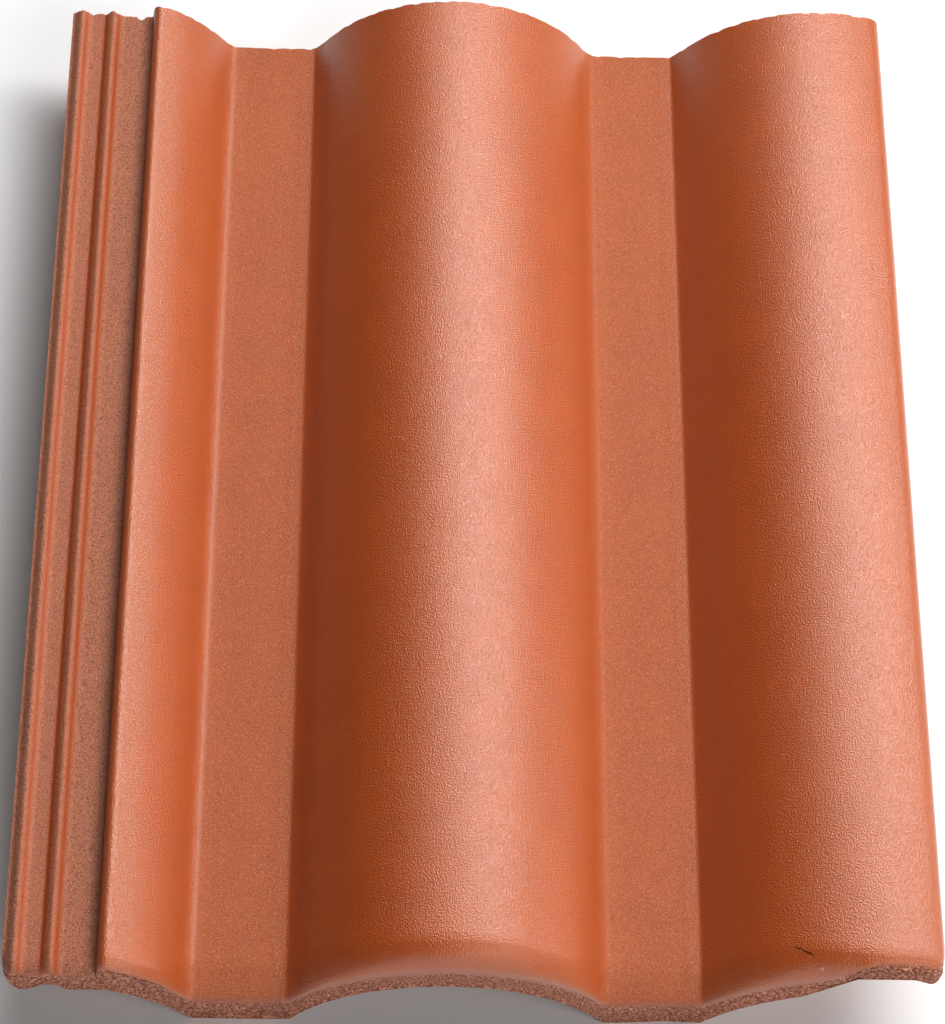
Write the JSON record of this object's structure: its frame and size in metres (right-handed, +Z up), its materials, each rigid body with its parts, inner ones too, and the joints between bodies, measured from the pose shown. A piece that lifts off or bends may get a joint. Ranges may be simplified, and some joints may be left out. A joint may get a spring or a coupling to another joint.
{
  "type": "interlocking concrete roof tile",
  "caption": "Double-roll interlocking concrete roof tile: rolls and flat pans, underlock channels on the left, overlock on the right, bars and nibs underneath.",
  "frame": {"origin": "centre of the footprint, on the plane that the tail bars and the nibs rest on", "axes": "+X across the tile from the underlock to the overlock, +Y along the slope from the tail to the head, +Z up, out of the weathered face"},
  "size_m": [0.332, 0.42, 0.0567],
  "materials": {
    "coated_concrete": "terracotta-coloured semi-gloss coating on fine-grained concrete"
  },
  "bodies": {
    "root": {"tile": "coated_concrete"}
  },
  "joints": []
}
